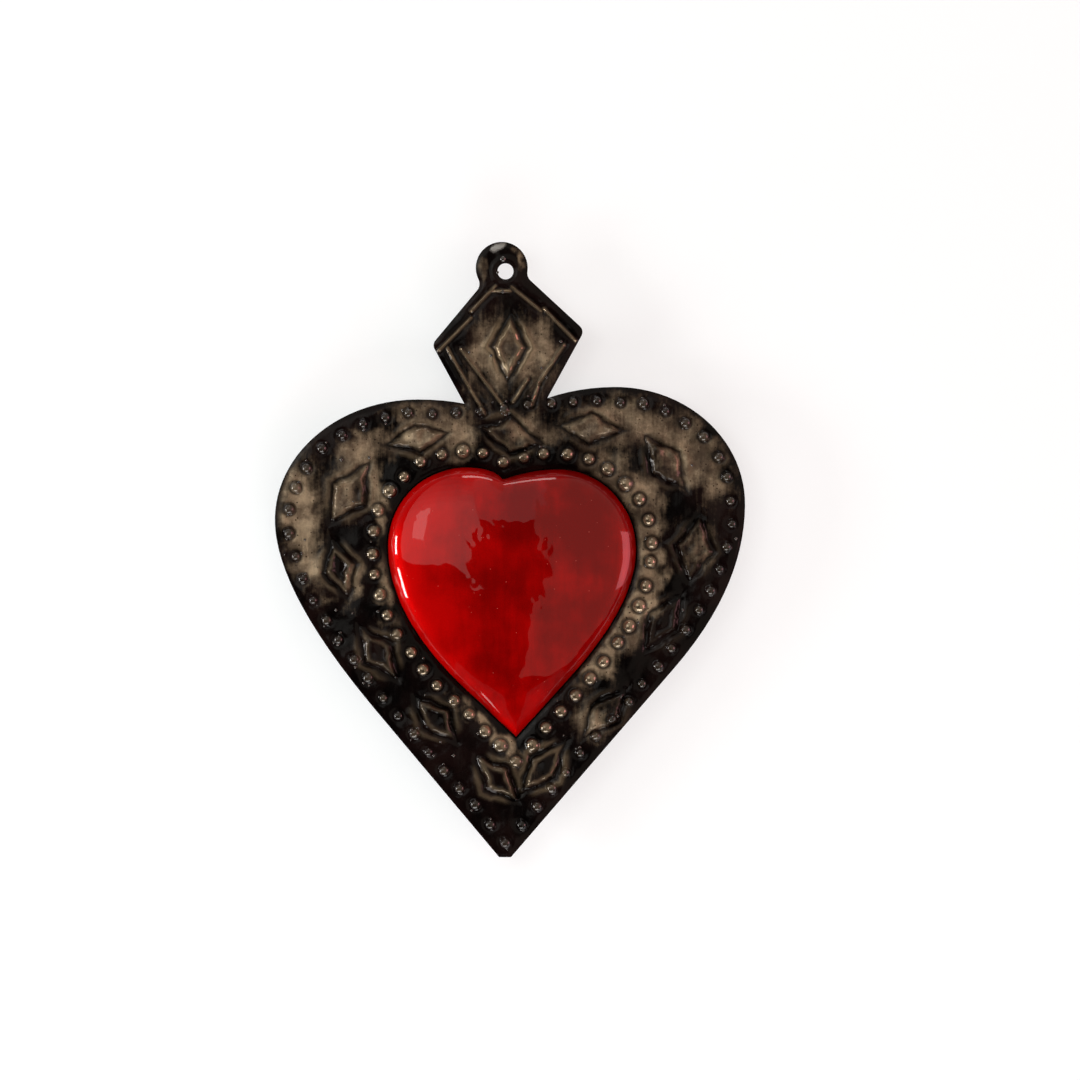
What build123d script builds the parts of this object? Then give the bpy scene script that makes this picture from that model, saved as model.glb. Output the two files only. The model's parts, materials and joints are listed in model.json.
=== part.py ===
from build123d import *
import math
import os
from dataclasses import dataclass, replace

# Hand-cut tin heart that hangs on a wall. Millimetres, +Z up, front towards -Y.
# The origin is on the axis of the hang hole, at the back face of the plate.
# Lobes, flanks and shoulders are named left and right as seen from the front.

# Tinplate, and how the two sheets meet
SHEET = 0.4
WINDOW_GAP = 0.3
FLANGE_WIDTH = 1.8

# Hanging tab
HOLE_RADIUS = 1.6
TAB_RADIUS = 5.2
TAB_SHIFT_X = -0.75
TAB_SHIFT_Z = 0.7
NECK_RADIUS = 2.0

# Finial: a leaning kite that runs from the tab down into the heart
FINIAL_APEX_X = -0.1
FINIAL_APEX_RISE = 2.9
LEFT_SHOULDER_REACH = 14.7
LEFT_SHOULDER_DROP = 14.6
RIGHT_SHOULDER_REACH = 15.8
RIGHT_SHOULDER_DROP = 11.8
SHOULDER_RADIUS = 1.6
LEFT_ROOT_REACH = 5.2
RIGHT_ROOT_REACH = 4.7
ROOT_BELOW_CLEFT = 2.5

# Plate heart: reaches are sideways from the hole, drops are down from it.
# A brow is the level run from a crown towards the cleft, and a lobe height is the drop from crown to flank.
# A belly is the drop from a flank to the corner where it would meet the straight side, and the belly run
# is the length of that side which the rounding of the corner takes up.
CLEFT_X = -0.3
CLEFT_DROP = 29.5
LEFT_CROWN_REACH = 17.5
LEFT_CROWN_DROP = 25.6
LEFT_BROW = 11.2
LEFT_FLANK_REACH = 46.1
LEFT_LOBE_HEIGHT = 24.1
LEFT_BELLY = 14.0
LEFT_BELLY_RUN = 31.0
RIGHT_CROWN_REACH = 22.0
RIGHT_CROWN_DROP = 23.1
RIGHT_BROW = 12.2
RIGHT_FLANK_REACH = 47.9
RIGHT_LOBE_HEIGHT = 23.4
RIGHT_BELLY = 16.4
RIGHT_BELLY_RUN = 21.5
TIP_X = -0.1
TIP_DROP = 118.5
TIP_SNIP = 1.4

# Domed heart: borders are the widths of plate left showing round it
NOTCH_SHIFT = -0.2
NOTCH_BORDER = 12.2
LEFT_CROWN_BORDER = 13.6
RIGHT_CROWN_BORDER = 16.5
LEFT_FLANK_BORDER = 22.6
RIGHT_FLANK_BORDER = 21.8
DOME_TIP_SHIFT = 2.2
DOME_TIP_BORDER = 25.4
DOME_LEFT_CROWN_REACH = 7.9
DOME_LEFT_BROW = 5.7
DOME_LEFT_LOBE_HEIGHT = 15.7
DOME_LEFT_BELLY = 13.9
DOME_LEFT_BELLY_RUN = 21.0
DOME_RIGHT_CROWN_REACH = 10.5
DOME_RIGHT_BROW = 5.5
DOME_RIGHT_LOBE_HEIGHT = 16.1
DOME_RIGHT_BELLY = 10.8
DOME_RIGHT_BELLY_RUN = 19.5
DOME_RISE = 7.5
DOME_SQUARENESS = 2.4
PEAK_BELOW_NOTCH = 17.5

# Beads punched up from behind
OUTER_BEAD_INSET = 2.8
OUTER_BEAD_PITCH = 4.7
OUTER_BEAD_RADIUS = 1.2
INNER_BEAD_OFFSET = 3.2
INNER_BEAD_PITCH = 4.4
INNER_BEAD_RADIUS = 1.3
BEAD_HEIGHT = 0.9

# Lozenges punched up from behind, in a ring between the two rows of beads
LOZENGES_PER_SIDE = 6
LEFT_FIRST_LOZENGE_RUN = 4.8
LEFT_LAST_LOZENGE_RUN = 5.4
RIGHT_FIRST_LOZENGE_RUN = 1.7
RIGHT_LAST_LOZENGE_RUN = 9.9
LOZENGE_LENGTH = 12.4
LOZENGE_WIDTH = 6.2
LOZENGE_RISE = 0.6
LOZENGE_BEVEL = 0.8
TOP_LOZENGE_TILT = -15.0
FINIAL_LOZENGE_DROP = 1.4
FINIAL_LOZENGE_TILT = 88.0

# Solder tacks along the rim, on the back
TACKS_PER_SIDE = 4
TACK_SHIFT = 0.3
TACK_RADIUS = 1.8
TACK_HEIGHT = 0.9

# Length of the handles that make a cubic Bezier follow a quarter ellipse
QUARTER_HANDLE = 0.5523

# Profile of the dome: angles at which its cross-sections are taken
DOME_ANGLES = (0, 15, 30, 45, 60, 75, 86)

# Sketches are drawn as seen from the front, and heights grow towards the viewer
FRONT = Plane.XZ

LEFT = -1
RIGHT = 1


@dataclass(frozen=True)
class Lobe:
    """Half of a heart: brow and crown on top, flank at the side, corner where flank and side lines meet."""

    side: int
    brow: Vector
    crown: Vector
    flank: Vector
    corner: Vector
    belly_run: float


@dataclass(frozen=True)
class Heart:
    """A heart outline with its notch at the top, its tip at the bottom and a lobe on each side."""

    notch: Vector
    tip: Vector
    lobes: tuple

    def moved(self, move, run_factor=1.0):
        """The heart with every point passed through a function."""
        lobes = tuple(
            Lobe(
                lobe.side,
                move(lobe.brow),
                move(lobe.crown),
                move(lobe.flank),
                move(lobe.corner),
                lobe.belly_run * run_factor,
            )
            for lobe in self.lobes
        )
        return Heart(move(self.notch), move(self.tip), lobes)

    def shrunk(self, share, centre):
        """The heart scaled about a point."""
        return self.moved(lambda point: centre + (point - centre) * share, share)

    def inset(self, depth):
        """The heart drawn in by a depth all round, or let out where the depth is negative."""
        down = Vector(0, -depth)
        sides = [self.inset_side(lobe, depth) for lobe in self.lobes]
        tip = meeting_point(*sides[0], *sides[1])
        lobes = []
        for lobe, (start, direction) in zip(self.lobes, sides):
            inward = Vector(-lobe.side * depth, 0)
            flank = lobe.flank + inward
            corner = meeting_point(flank, Vector(0, -1), start, direction)
            lobes.append(
                replace(lobe, brow=lobe.brow + down, crown=lobe.crown + down, flank=flank, corner=corner)
            )
        return Heart(self.notch + down, tip, tuple(lobes))

    def inset_side(self, lobe, depth):
        """A point and the direction of a lobe's straight side after it is drawn in."""
        direction = (self.tip - lobe.corner).normalized()
        inward = Vector(direction.Y, -direction.X) * lobe.side
        return lobe.corner + inward * depth, direction

    def halfway_to(self, other):
        """The heart midway between this one and another."""
        lobes = tuple(
            Lobe(
                a.side,
                (a.brow + b.brow) / 2,
                (a.crown + b.crown) / 2,
                (a.flank + b.flank) / 2,
                (a.corner + b.corner) / 2,
                (a.belly_run + b.belly_run) / 2,
            )
            for a, b in zip(self.lobes, other.lobes)
        )
        return Heart((self.notch + other.notch) / 2, (self.tip + other.tip) / 2, lobes)


def meeting_point(start, direction, other_start, other_direction):
    """The point where two lines in the sketch plane cross."""
    gap = other_start - start
    cross = direction.X * other_direction.Y - direction.Y * other_direction.X
    run = (gap.X * other_direction.Y - gap.Y * other_direction.X) / cross
    return start + direction * run


def make_lobe(side, crown_reach, crown_drop, brow, flank_reach, lobe_height, belly, belly_run):
    """A lobe from its reaches and drops, measured from the hang hole."""
    crown = Vector(side * crown_reach, -crown_drop)
    flank = Vector(side * flank_reach, -crown_drop - lobe_height)
    return Lobe(
        side,
        crown - Vector(side * brow, 0),
        crown,
        flank,
        flank - Vector(0, belly),
        belly_run,
    )


def draw_lobe_top(heart, lobe):
    """Draw the stretch from the notch over the brow to the crown."""
    Bezier(heart.notch, lobe.brow, lobe.crown)


def draw_lobe_side(heart, lobe):
    """Draw the stretch from the crown round the flank and straight down to the tip."""
    over = Vector((lobe.flank.X - lobe.crown.X) * QUARTER_HANDLE, 0)
    up = Vector(0, (lobe.crown.Y - lobe.flank.Y) * QUARTER_HANDLE)
    belly_end = lobe.corner + (heart.tip - lobe.corner).normalized() * lobe.belly_run
    Bezier(lobe.crown, lobe.crown + over, lobe.flank + up, lobe.flank)
    Bezier(lobe.flank, lobe.corner, belly_end)
    Line(belly_end, heart.tip)


def heart_face(heart, mode=Mode.ADD):
    """Fill a heart outline in the current sketch."""
    with BuildLine() as outline:
        for lobe in heart.lobes:
            draw_lobe_top(heart, lobe)
            draw_lobe_side(heart, lobe)
    make_face(outline.edges(), mode=mode)


def row_places(heart, pitch):
    """Evenly pitched places all the way round a heart outline."""
    places = []
    for lobe in heart.lobes:
        with BuildLine() as row:
            draw_lobe_top(heart, lobe)
            draw_lobe_side(heart, lobe)
        path = row.wire()
        count = round(path.length / pitch)
        first = 0 if lobe.side == LEFT else 1
        last = count if lobe.side == LEFT else count - 1
        places += [path @ (step / count) for step in range(first, last + 1)]
    return places


def side_path(heart, lobe):
    """The path down one side of a heart, from the crown to the tip."""
    with BuildLine() as row:
        draw_lobe_side(heart, lobe)
    return row.wire()


def lozenge_places(heart, lobe, first_run, last_run):
    """Places of the lozenges down one side of a heart, each turned along the outline."""
    path = side_path(heart, lobe)
    spread = path.length - first_run - last_run
    places = []
    for step in range(LOZENGES_PER_SIDE):
        share = (first_run + spread * step / (LOZENGES_PER_SIDE - 1)) / path.length
        tangent = path % share
        places.append(Location(path @ share, math.degrees(math.atan2(tangent.Y, tangent.X))))
    return places


def tack_places(heart):
    """Places of the solder tacks, evenly pitched down both sides of a heart."""
    paths = [side_path(heart, lobe) for lobe in heart.lobes]
    return [path @ ((step + 0.5) / TACKS_PER_SIDE) for path in paths for step in range(TACKS_PER_SIDE)]


def raise_beads(places, radius):
    """Add round bumps on the front of the sheet."""
    ball = bead_ball(radius)
    low = math.degrees(math.asin((ball - BEAD_HEIGHT - SHEET / 2) / ball))
    with Locations(*[(place.X, place.Y, SHEET + BEAD_HEIGHT) for place in places]):
        Sphere(ball, arc_size1=low, align=(Align.CENTER, Align.CENTER, Align.MAX))


def hollow_beads(places, radius):
    """Cut the dimples that the bumps leave on the back of the sheet."""
    with Locations(*[(place.X, place.Y, BEAD_HEIGHT) for place in places]):
        Sphere(
            bead_ball(radius) - SHEET,
            align=(Align.CENTER, Align.CENTER, Align.MAX),
            mode=Mode.SUBTRACT,
        )


def bead_ball(radius):
    """Radius of the ball whose cap is a bead of the given radius at the sheet."""
    return (radius**2 + BEAD_HEIGHT**2) / (2 * BEAD_HEIGHT)


def lozenge_face(inset):
    """Fill a lozenge, drawn in by an inset from its full size, in the current sketch."""
    half_length = LOZENGE_LENGTH / 2
    half_width = LOZENGE_WIDTH / 2
    share = 1 - inset * math.hypot(half_length, half_width) / (half_length * half_width)
    across = half_length * share
    up = half_width * share
    Polygon((across, 0), (0, up), (-across, 0), (0, -up))


def dome_body(outline, peak, rise, foot, mode=Mode.ADD):
    """A straight foot up to the front of the sheet, and the dome lofted from there to its peak."""
    with BuildSketch(FRONT.offset(foot)) as base:
        heart_face(outline)
    extrude(base.sketch, amount=SHEET - foot, mode=mode)
    power = 2 / DOME_SQUARENESS
    sections = []
    for angle in DOME_ANGLES:
        share = math.cos(math.radians(angle)) ** power
        height = SHEET + (rise - SHEET) * math.sin(math.radians(angle)) ** power
        with BuildSketch(FRONT.offset(height)) as section:
            heart_face(outline.shrunk(share, peak))
        sections.append(section.sketch)
    loft(sections, mode=mode)


plate_heart = Heart(
    Vector(CLEFT_X, -CLEFT_DROP),
    Vector(TIP_X, -TIP_DROP),
    (
        make_lobe(
            LEFT,
            LEFT_CROWN_REACH,
            LEFT_CROWN_DROP,
            LEFT_BROW,
            LEFT_FLANK_REACH,
            LEFT_LOBE_HEIGHT,
            LEFT_BELLY,
            LEFT_BELLY_RUN,
        ),
        make_lobe(
            RIGHT,
            RIGHT_CROWN_REACH,
            RIGHT_CROWN_DROP,
            RIGHT_BROW,
            RIGHT_FLANK_REACH,
            RIGHT_LOBE_HEIGHT,
            RIGHT_BELLY,
            RIGHT_BELLY_RUN,
        ),
    ),
)

dome_heart = Heart(
    Vector(CLEFT_X + NOTCH_SHIFT, -CLEFT_DROP - NOTCH_BORDER),
    Vector(TIP_X + DOME_TIP_SHIFT, -TIP_DROP + DOME_TIP_BORDER),
    (
        make_lobe(
            LEFT,
            DOME_LEFT_CROWN_REACH,
            LEFT_CROWN_DROP + LEFT_CROWN_BORDER,
            DOME_LEFT_BROW,
            LEFT_FLANK_REACH - LEFT_FLANK_BORDER,
            DOME_LEFT_LOBE_HEIGHT,
            DOME_LEFT_BELLY,
            DOME_LEFT_BELLY_RUN,
        ),
        make_lobe(
            RIGHT,
            DOME_RIGHT_CROWN_REACH,
            RIGHT_CROWN_DROP + RIGHT_CROWN_BORDER,
            DOME_RIGHT_BROW,
            RIGHT_FLANK_REACH - RIGHT_FLANK_BORDER,
            DOME_RIGHT_LOBE_HEIGHT,
            DOME_RIGHT_BELLY,
            DOME_RIGHT_BELLY_RUN,
        ),
    ),
)

left_dome, right_dome = dome_heart.lobes
dome_peak = Vector((left_dome.flank.X + right_dome.flank.X) / 2, dome_heart.notch.Y - PEAK_BELOW_NOTCH)

left_shoulder = Vector(-LEFT_SHOULDER_REACH, -LEFT_SHOULDER_DROP)
right_shoulder = Vector(RIGHT_SHOULDER_REACH, -RIGHT_SHOULDER_DROP)
root_level = -CLEFT_DROP - ROOT_BELOW_CLEFT

# The outer row of beads runs straight across the foot of the finial, from crown to crown
crown_level = -(LEFT_CROWN_DROP + RIGHT_CROWN_DROP) / 2
outer_row = replace(plate_heart, notch=Vector(CLEFT_X, crown_level)).inset(OUTER_BEAD_INSET)
outer_beads = row_places(outer_row, OUTER_BEAD_PITCH)
inner_row = dome_heart.inset(-INNER_BEAD_OFFSET)
inner_beads = row_places(inner_row, INNER_BEAD_PITCH)

lozenge_row = plate_heart.halfway_to(dome_heart)
left_row, right_row = lozenge_row.lobes
lozenges = lozenge_places(lozenge_row, left_row, LEFT_FIRST_LOZENGE_RUN, LEFT_LAST_LOZENGE_RUN)
lozenges += lozenge_places(lozenge_row, right_row, RIGHT_FIRST_LOZENGE_RUN, RIGHT_LAST_LOZENGE_RUN)
lozenges.append(Location((outer_row.notch + inner_row.notch) / 2, TOP_LOZENGE_TILT))
finial_middle = (left_shoulder + right_shoulder) / 2 - Vector(0, FINIAL_LOZENGE_DROP)
lozenges.append(Location(finial_middle, FINIAL_LOZENGE_TILT))

# A lozenge as it stands on the front of the sheet, and the dimple it leaves on the back
with BuildPart() as lozenge_bump:
    with BuildSketch(Plane.XY.offset(SHEET / 2)):
        lozenge_face(0)
    with BuildSketch(Plane.XY.offset(SHEET + LOZENGE_RISE)):
        lozenge_face(LOZENGE_BEVEL)
    loft(ruled=True)

with BuildPart() as lozenge_dimple:
    with BuildSketch(Plane.XY):
        lozenge_face(SHEET)
    with BuildSketch(Plane.XY.offset(LOZENGE_RISE)):
        lozenge_face(LOZENGE_BEVEL + SHEET)
    loft(ruled=True)

with BuildPart(FRONT) as heart_plate:
    with BuildSketch(FRONT) as outline:
        Polygon(
            (FINIAL_APEX_X, FINIAL_APEX_RISE),
            left_shoulder,
            (-LEFT_ROOT_REACH, root_level),
            (RIGHT_ROOT_REACH, root_level),
            right_shoulder,
        )
        for shoulder in (left_shoulder, right_shoulder):
            fillet(outline.vertices().sort_by_distance(shoulder)[0], SHOULDER_RADIUS)
        with Locations((TAB_SHIFT_X, TAB_SHIFT_Z)):
            Circle(TAB_RADIUS)
        tab_foot = (TAB_SHIFT_X, TAB_SHIFT_Z - TAB_RADIUS)
        fillet(outline.vertices().sort_by_distance(tab_foot)[:2], NECK_RADIUS)
        heart_face(plate_heart)
        with Locations((TIP_X, -TIP_DROP)):
            Rectangle(2 * TIP_DROP, 2 * TIP_SNIP, mode=Mode.SUBTRACT)
        Circle(HOLE_RADIUS, mode=Mode.SUBTRACT)
        heart_face(dome_heart.inset(-WINDOW_GAP), mode=Mode.SUBTRACT)
    extrude(amount=SHEET)
    raise_beads(outer_beads, OUTER_BEAD_RADIUS)
    raise_beads(inner_beads, INNER_BEAD_RADIUS)
    with Locations(*lozenges):
        add(lozenge_bump.part)
    hollow_beads(outer_beads, OUTER_BEAD_RADIUS)
    hollow_beads(inner_beads, INNER_BEAD_RADIUS)
    with Locations(*lozenges):
        add(lozenge_dimple.part, mode=Mode.SUBTRACT)

# The dome comes through the window, and its flat rim lies against the back of the plate
rim = dome_heart.inset(-FLANGE_WIDTH)
with BuildPart(FRONT) as domed_heart:
    dome_body(dome_heart, dome_peak, DOME_RISE, -SHEET)
    with BuildSketch(FRONT.offset(-SHEET)):
        heart_face(rim)
    extrude(amount=SHEET)
    dome_body(dome_heart.inset(SHEET), dome_peak, DOME_RISE - SHEET, -2 * SHEET, mode=Mode.SUBTRACT)

# Each solder tack fills the step beside the rim, and its rounded top laps over the rim
tacks = tack_places(rim.inset(-TACK_SHIFT))
lap_rise = TACK_HEIGHT - SHEET
lap_ball = (TACK_RADIUS**2 + lap_rise**2) / (2 * lap_rise)
with BuildPart(FRONT) as solder_tacks:
    with BuildSketch(FRONT.offset(-SHEET)):
        with Locations(*tacks):
            Circle(TACK_RADIUS)
        heart_face(rim, mode=Mode.SUBTRACT)
    extrude(amount=SHEET)
    with Locations(*[(place.X, place.Y, -TACK_HEIGHT) for place in tacks]):
        Sphere(
            lap_ball,
            arc_size2=math.degrees(math.asin((lap_rise - lap_ball) / lap_ball)),
            align=(Align.CENTER, Align.CENTER, Align.MIN),
        )

heart_plate.part.label = "heart_plate"
domed_heart.part.label = "domed_heart"
solder_tacks.part.label = "solder_tacks"

os.makedirs("parts", exist_ok=True)
export_step(heart_plate.part, "parts/heart_plate.step")
export_step(domed_heart.part, "parts/domed_heart.step")
export_step(solder_tacks.part, "parts/solder_tacks.step")
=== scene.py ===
import json
import math

import bmesh
import bpy
import numpy as np
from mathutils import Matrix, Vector
from mathutils.geometry import delaunay_2d_cdt
from mathutils.kdtree import KDTree

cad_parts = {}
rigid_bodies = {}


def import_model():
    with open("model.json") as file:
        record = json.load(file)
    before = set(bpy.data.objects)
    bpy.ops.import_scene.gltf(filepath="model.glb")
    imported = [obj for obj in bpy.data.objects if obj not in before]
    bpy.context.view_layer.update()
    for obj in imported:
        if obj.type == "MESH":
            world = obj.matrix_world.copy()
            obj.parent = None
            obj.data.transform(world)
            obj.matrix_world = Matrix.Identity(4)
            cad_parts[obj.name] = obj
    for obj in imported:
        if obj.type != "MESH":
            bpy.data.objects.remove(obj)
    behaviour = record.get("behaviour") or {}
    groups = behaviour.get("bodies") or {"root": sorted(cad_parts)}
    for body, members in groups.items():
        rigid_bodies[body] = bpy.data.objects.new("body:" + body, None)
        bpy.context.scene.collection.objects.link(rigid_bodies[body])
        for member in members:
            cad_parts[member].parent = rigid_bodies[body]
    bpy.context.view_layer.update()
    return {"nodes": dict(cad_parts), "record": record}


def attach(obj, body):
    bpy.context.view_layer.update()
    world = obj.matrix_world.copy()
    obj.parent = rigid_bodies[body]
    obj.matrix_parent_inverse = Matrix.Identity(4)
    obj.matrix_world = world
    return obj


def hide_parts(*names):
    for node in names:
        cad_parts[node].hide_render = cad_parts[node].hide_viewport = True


for leftover in list(bpy.data.objects):
    bpy.data.objects.remove(leftover)
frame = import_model()

# Lengths are millimetres, apart from the lamps, which are in metres. Sheet points are (x, z) as seen from the
# front, and heights grow towards the viewer, along -Y, from the back face of the plate. A ridge is written as
# its height, its place and its width, a layer of waves as its height, its wavelength and its seed, and a ramp
# or a fade as where it begins and where it ends.
MM = 0.001
SHEET = frame["record"]["mounts"][0]["dims"]["length_mm"]
SEED = 7
TURN = 2 * math.pi

# Gaps under which two levels count as one, and under which two mesh points would melt together
TOUCH = 1e-3
MELT = 1e-6

# Smooth random fields: how many waves cross in one, and how much their lengths differ
WAVE_COUNT = 14
WAVE_STRETCH = (0.7, 1.5)

# Spacing of mesh points: on the plate's front and back, at the closest, between grid and features in steps,
# and along a measured outline
FRONT_STEP = 0.31
BACK_STEP = 0.62
CLOSEST = 0.13
GRID_GAP = 0.72
OUTLINE_STEP = 0.1

# The beaten sheet: its undulation, which settles near the window and the outline, hammer marks, the lip of
# the hang hole, the rolled edges of outline, window and hole, and how much of the relief shows behind
SWAY_MEAN = 0.22
SWAYS = ((0.15, 17, 1), (0.07, 7, 2))
WINDOW_SETTLE = (0, 3)
OUTLINE_SETTLE = (-0.5, 2)
HAMMER_MARKS = (0.012, 2.2, 3)
HOLE_LIP = (0.22, 2.5, 0.45)
EDGE_ROLLS = ((0.26, 0, 0.55), (0.3, 0, 0.6), (0.24, 1.6, 0.4))
THINNEST = 0.1
EDGE_THICKNESS = 0.08
BACK_SHARE = 0.94

# Beads: the dimple radius that parts large from small ones, how far they reach past their dimples, the
# height, how uneven the punching is, how bright they are rubbed, and the varnish on small ones
LARGE_DIMPLE = 0.92
LARGE_BEAD_WALL = 0.3
SMALL_BEAD_WALL = 0.17
BEAD_HEIGHT = 0.95
BEAD_SIZE_SPREAD = 0.1
BEAD_HEIGHT_SPREAD = 0.14
BEAD_STRAY = 0.16
LARGE_BEAD_SHINE = (0.75, 1.0)
SMALL_BEAD_SHINE = (0.0, 0.2)
SMALL_BEAD_VARNISH = 0.9
FRONT_BEAD_RINGS = ((0.3, 6), (0.6, 12), (0.82, 17), (0.95, 20), (1.06, 22), (1.28, 24), (1.5, 24))
BACK_BEAD_RINGS = ((0.4, 6), (0.8, 12), (1.0, 14), (1.25, 16))

# Round a bead, with places in bead radii: the groove, the dirt, and where rubbing, dark coat and varnish fade
BEAD_GROOVE = (-0.12, 1.18, 0.3)
BEAD_DIRT = (1.0, 1.12, 0.34)
BEAD_TOP = (0.45, 0.95)
BEAD_COAT = (0.95, 1.15)
BEAD_VARNISH = (0.9, 1.2)

# Lozenges from the top one round to the left, then the finial's: how far each was struck off its even place
# in x and z, length, width, skew in degrees, how far the middle is filled, from sunken at 0 to a pillow at 1,
# and how bright its crests are rubbed
LOZENGE_LOOKS = (
    (1.4, 0.0, 12.2, 6.7, 14, 0.75, 0.3),
    (0.0, -0.6, 11.2, 5.2, 0, 1.0, 0.35),
    (0.6, -2.1, 13.0, 7.2, 0, 0.7, 0.3),
    (0.6, 0.0, 11.4, 6.2, 0, 0.0, 0.35),
    (0.4, -1.2, 12.0, 6.2, 0, 0.2, 0.25),
    (0.6, -0.8, 11.2, 6.2, -8, 0.5, 0.25),
    (1.0, 0.4, 11.6, 5.8, 0, 0.7, 0.4),
    (0.0, -0.8, 13.0, 6.2, 0, 0.6, 0.5),
    (1.0, -3.0, 12.2, 6.0, 6, 0.5, 0.1),
    (1.6, 1.6, 13.0, 6.2, 0, 0.4, 0.05),
    (1.2, 0.4, 13.0, 7.0, 0, 0.5, 0.1),
    (-1.0, 1.0, 12.4, 6.6, 0, 0.75, 0.15),
    (-1.0, 0.0, 12.0, 5.8, 0, 0.9, 0.1),
    (0.2, -0.6, 12.6, 6.6, 0, 0.55, 0.9),
)

# How much the middles lean, the lines of mesh points by their depth, the share under which such a line is left
# out, the level above which a lozenge is the finial's, and where the count round the ring begins
LOZENGE_LEAN = 0.06
LOZENGE_RINGS = (-2.0, -1.6, -1.2, -0.85, -0.5, -0.25, 0.0, 0.25, 0.5, 0.75, 1.0, 1.3, 1.6, 2.0, 2.4)
SMALLEST_RING = 0.05
FINIAL_BASE = -22
FIRST_LOZENGE_TURN = 0.2

# Section of a lozenge, measured in from its edge, then where dirt and rubbing lie in it
LOZENGE_WANDER = ((0.2, 5, 51), (0.08, 1.7, 52))
BLOW_FORCE = 0.9
BLOW_SPREAD = (0.25, 4, 53)
LOZENGE_RIM = (0.26, -1.3, 0.6)
RIM_STOP = (0.55, 1.0)
LOZENGE_GROOVE = (-0.34, -0.25, 0.42)
MIDDLE_STEP = (-0.1, 0.9)
MIDDLE_HEIGHT = 0.78
MIDDLE_SINK = (0.95, 1.7)
SINK_DEPTH = 0.5
PILLOW_SLOPE = (0.6, 2.6)
PILLOW_HEIGHT = 0.42
GROOVE_DIRT = (1.0, -0.2, 0.52)
HOLLOW_DIRT = (1.1, 1.7)
HOLLOW_DARKNESS = 0.8
RIM_RUB = (1.0, -1.3, 0.45)
MIDDLE_RUB = (1.0, 0.8, 0.35)

# Lines tooled into the finial, and their section, with places plus towards the finial's middle
FINIAL_LINES = (
    ((-2.0, -2.9), (-6.9, -8.0)),
    ((-6.9, -9.3), (-13.3, -15.8)),
    ((1.3, -3.2), (7.1, -7.9)),
    ((7.6, -7.4), (14.0, -13.9)),
    ((-11.6, -15.4), (-7.3, -23.1)),
    ((-7.3, -23.1), (-4.1, -28.4)),
    ((-8.9, -15.6), (-0.6, -26.7)),
    ((11.7, -14.7), (6.6, -22.5)),
    ((6.6, -22.5), (5.3, -26.7)),
    ((4.4, -21.6), (1.5, -26.1)),
    ((-2.7, -3.9), (0.9, -3.9)),
)
FINIAL_MIDDLE = np.array((0.2, -15.0))
LINE_OFFSETS = (-1.2, -0.85, -0.55, -0.3, -0.14, 0.0, 0.14, 0.3, 0.55, 0.85)
LINE_SECTION = ((0.32, 0.0, 0.25), (-0.28, -0.55, 0.34), (-0.12, 0.55, 0.34))
LINE_WANDER = (0.1, 4, 4)
LINE_FORCE = 0.85
LINE_SPREAD = (0.3, 6, 5)
LINE_DIRT = (1.0, -0.55, 0.38)
LINE_RUB = (0.9, 0.0, 0.22)

# Patches where the dark patina is wiped back, then patches left dark: x, z, half length, half width, tilt in
# degrees, strength. Both are partly painted sheen: the pale ones stand in for lamps reflected in the metal,
# the dark ones for where no reflection falls.
WIPED_AND_SHEEN_PATCHES = (
    (-41.1, -47.7, 11.0, 3.6, 95, 0.9),
    (-39.5, -60.1, 3.2, 2.8, 0, 0.7),
    (-28.7, -35.3, 4.4, 3.0, 20, 0.9),
    (-16.1, -27.7, 7.0, 2.0, 0, 0.75),
    (-17.7, -33.3, 5.4, 2.8, 10, 0.9),
    (-9.1, -33.7, 4.8, 3.6, 90, 0.75),
    (-31.7, -43.7, 5.0, 4.0, 50, 0.8),
    (-27.1, -42.3, 4.4, 1.8, 100, 0.65),
    (-24.9, -48.9, 4.0, 1.6, 90, 0.95),
    (-24.2, -61.5, 7.0, 1.5, 95, 0.9),
    (-29.7, -60.7, 6.0, 1.2, 80, 0.65),
    (-35.7, -65.7, 1.8, 1.6, 0, 0.5),
    (-22.5, -69.1, 2.0, 1.6, 0, 0.5),
    (23.3, -43.3, 9.0, 4.0, -40, 1.0),
    (28.9, -57.3, 9.0, 2.6, 95, 0.95),
    (25.3, -68.7, 7.0, 2.8, 65, 0.9),
    (26.9, -29.7, 11.0, 4.4, -15, 0.55),
    (40.5, -38.7, 8.0, 4.0, 120, 0.6),
    (38.3, -55.7, 6.0, 3.4, 80, 0.45),
    (16.9, -31.3, 6.0, 3.2, -10, 0.6),
    (4.5, -32.1, 4.0, 3.0, 0, 0.7),
    (18.5, -77.7, 7.0, 3.0, 55, 0.85),
    (17.3, -90.1, 4.0, 3.6, 0, 0.6),
    (34.6, -38.4, 4.0, 3.0, -50, 0.75),
    (-3.2, -91.3, 8.0, 1.4, -42, 1.0),
    (-1.7, -16.7, 8.0, 6.4, 90, 0.65),
    (6.9, -16.1, 7.2, 3.6, 90, 0.65),
    (-4.5, 0.3, 2.6, 1.3, 90, 0.5),
    (2.8, 2.8, 2.4, 0.9, -50, 0.55),
)
DARK_AND_SHEENLESS_PATCHES = (
    (-28.4, -48.0, 7.5, 1.7, 90, 0.9),
    (-28.0, -55.0, 5.0, 2.8, 20, 0.8),
    (-33.0, -30.5, 3.4, 2.2, 60, 0.7),
    (29.0, -83.5, 6.0, 1.8, 45, 0.9),
    (9.0, -37.0, 5.0, 2.0, 20, 0.5),
    (-31.0, -75.0, 8.0, 5.0, -55, 0.6),
)

# How the patches' shapes stray from ellipses, in x and in z, and how softly they end
PATCH_STRAYS = (((0.8, 5, 11), (0.25, 1.6, 13)), ((0.8, 5, 12), (0.25, 1.6, 14)))
PATCH_SOFTNESS = 1.05

# The corner of the tab that is worn bare
BARE_CORNER = (-1.5, 4.9, 1.8, 0.75, 28)
BARE_STRAY = (0.2, 2, 21)
BARE_FADE = (0.8, 1.1)

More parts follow.
